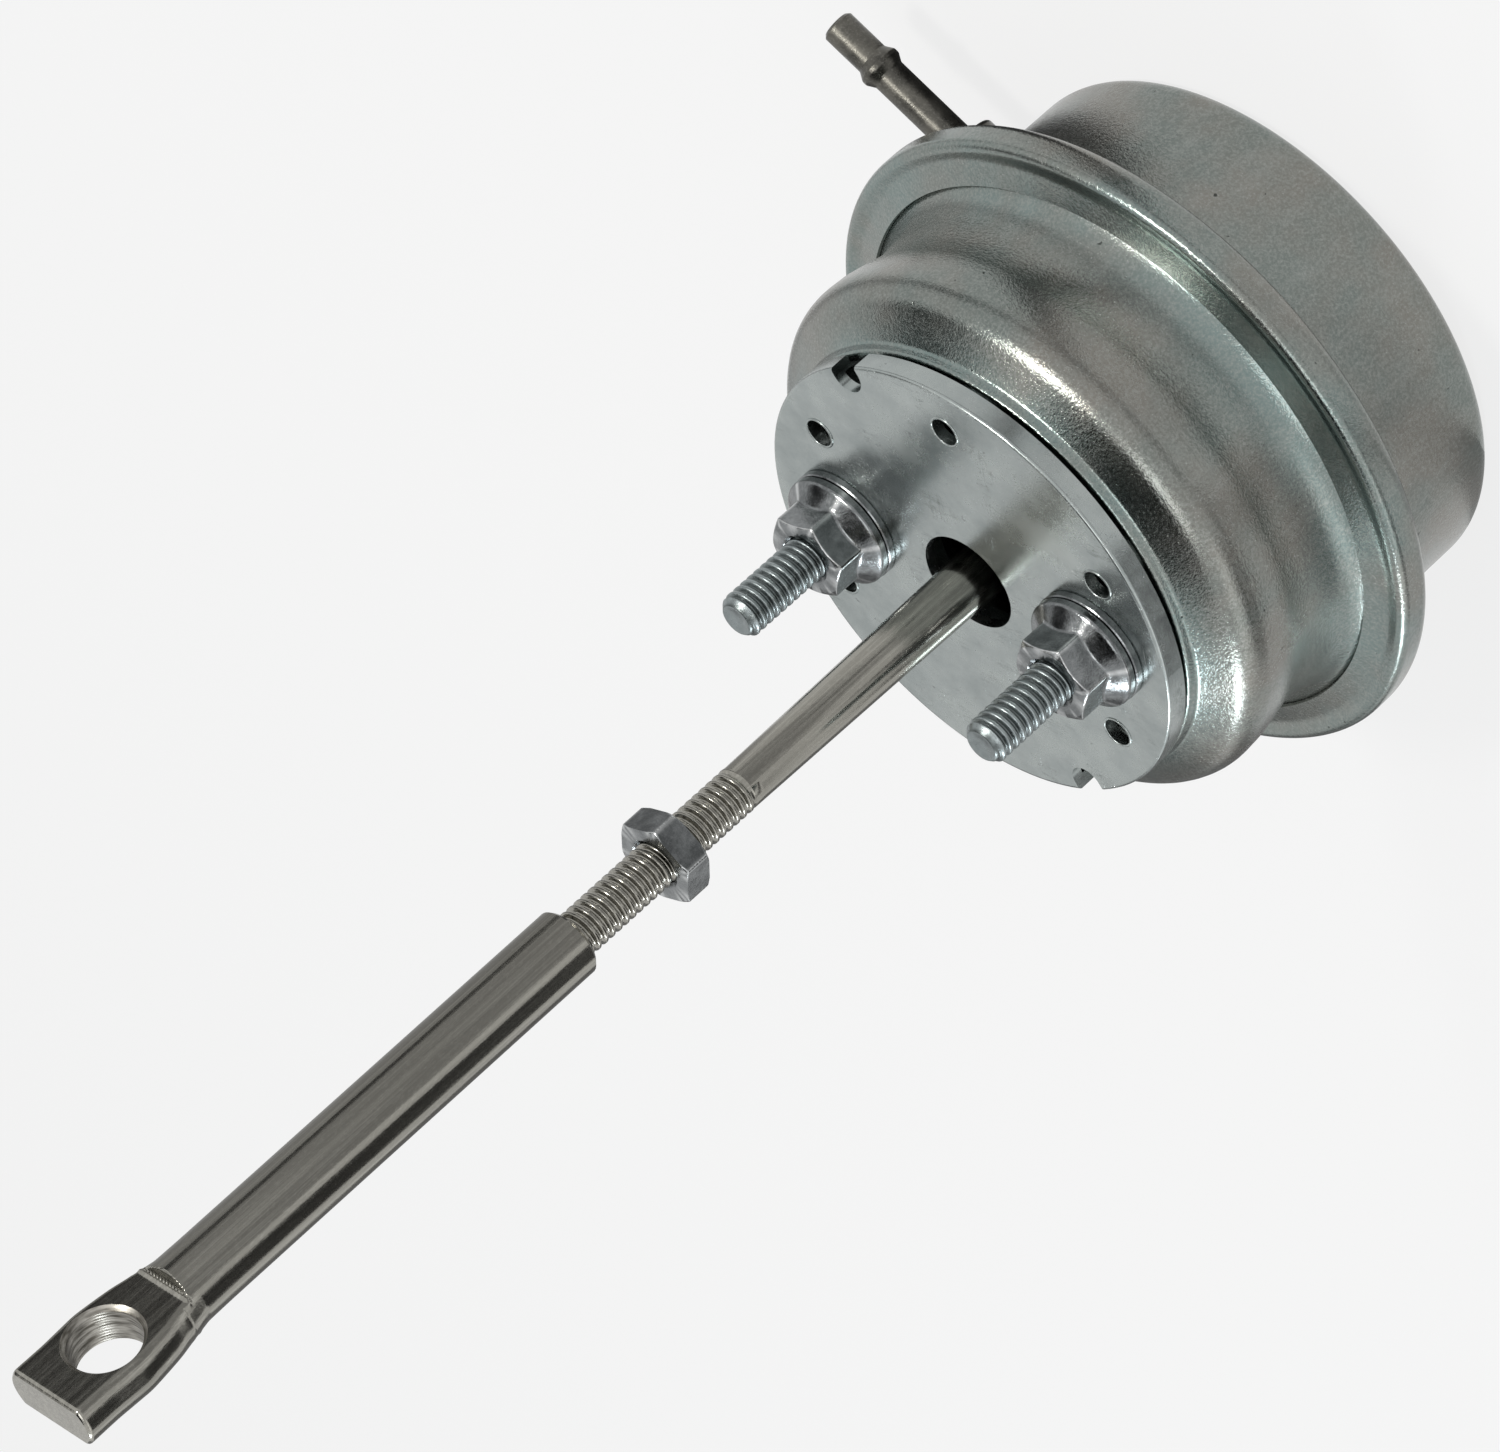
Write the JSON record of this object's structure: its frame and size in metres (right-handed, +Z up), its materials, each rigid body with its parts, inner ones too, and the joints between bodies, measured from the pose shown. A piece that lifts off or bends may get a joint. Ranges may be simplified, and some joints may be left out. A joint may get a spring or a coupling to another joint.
{
  "type": "turbo wastegate actuator",
  "caption": "Round pressure can with a rolled rim, a studded mounting plate, a side hose nipple and a long adjustable push rod ending in a flattened eye.",
  "frame": {"origin": "centre of the flat closed end of the can, on which the part stands", "axes": "+Z up the push rod's axis towards the eye; the two mounting studs stand on the X axis, +X being the stud furthest from the hose nipple; the eye's pin hole runs along Y"},
  "size_m": [0.1051, 0.095, 0.2224],
  "materials": {
    "zinc_shell": "satin zinc plate",
    "zinc_plate": "satin zinc plate",
    "zinc_fastener": "bright zinc plate",
    "zinc_stud": "dark rolled steel",
    "rod_steel": "drawn stainless",
    "tube_steel": "dark plated tube",
    "inner_steel": "plain pressed steel",
    "spring_steel": "oiled spring wire",
    "rubber": "fabric-backed rubber"
  },
  "bodies": {
    "housing": {"rear_can": "zinc_shell", "front_shell": "zinc_shell", "diaphragm": "rubber", "mounting_plate": "zinc_plate", "mounting_studs": "zinc_stud", "stud_spacers": "inner_steel", "nut_washers": "zinc_fastener", "flange_nuts": "zinc_fastener", "hose_nipple": "tube_steel", "nipple_collar": "tube_steel", "spring_seat": "inner_steel", "return_spring": "spring_steel", "bump_stop": "rubber"},
    "piston": {"piston_cup": "inner_steel", "diaphragm_retainer": "inner_steel", "rod_socket": "inner_steel", "snap_ring": "spring_steel"},
    "rod": {"actuator_rod": "rod_steel"},
    "jam_nut": {"jam_nut": "zinc_fastener"},
    "rod_end": {"rod_end": "rod_steel"}
  },
  "joints": [
    {"name": "piston_travel", "type": "slide", "parent": "housing", "child": "piston", "axis": [0, 0, 1], "range_m": [0, 0.012], "stiffness_N_per_m": 5000, "springref_m": -0.035, "deforming": ["return_spring", "diaphragm"]},
    {"name": "rod_swing", "type": "hinge", "parent": "piston", "child": "rod", "pos_m": [0, 0, 0.0122], "axis": [0, 1, 0], "range_deg": [-2.5, 2.5]},
    {"name": "jam_nut_run", "type": "slide", "parent": "rod", "child": "jam_nut", "axis": [0, 0, 1], "range_m": [-0.0113, 0.01]},
    {"name": "rod_end_adjust", "type": "slide", "parent": "rod", "child": "rod_end", "axis": [0, 0, 1], "range_m": [-0.0045, 0.01]}
  ]
}
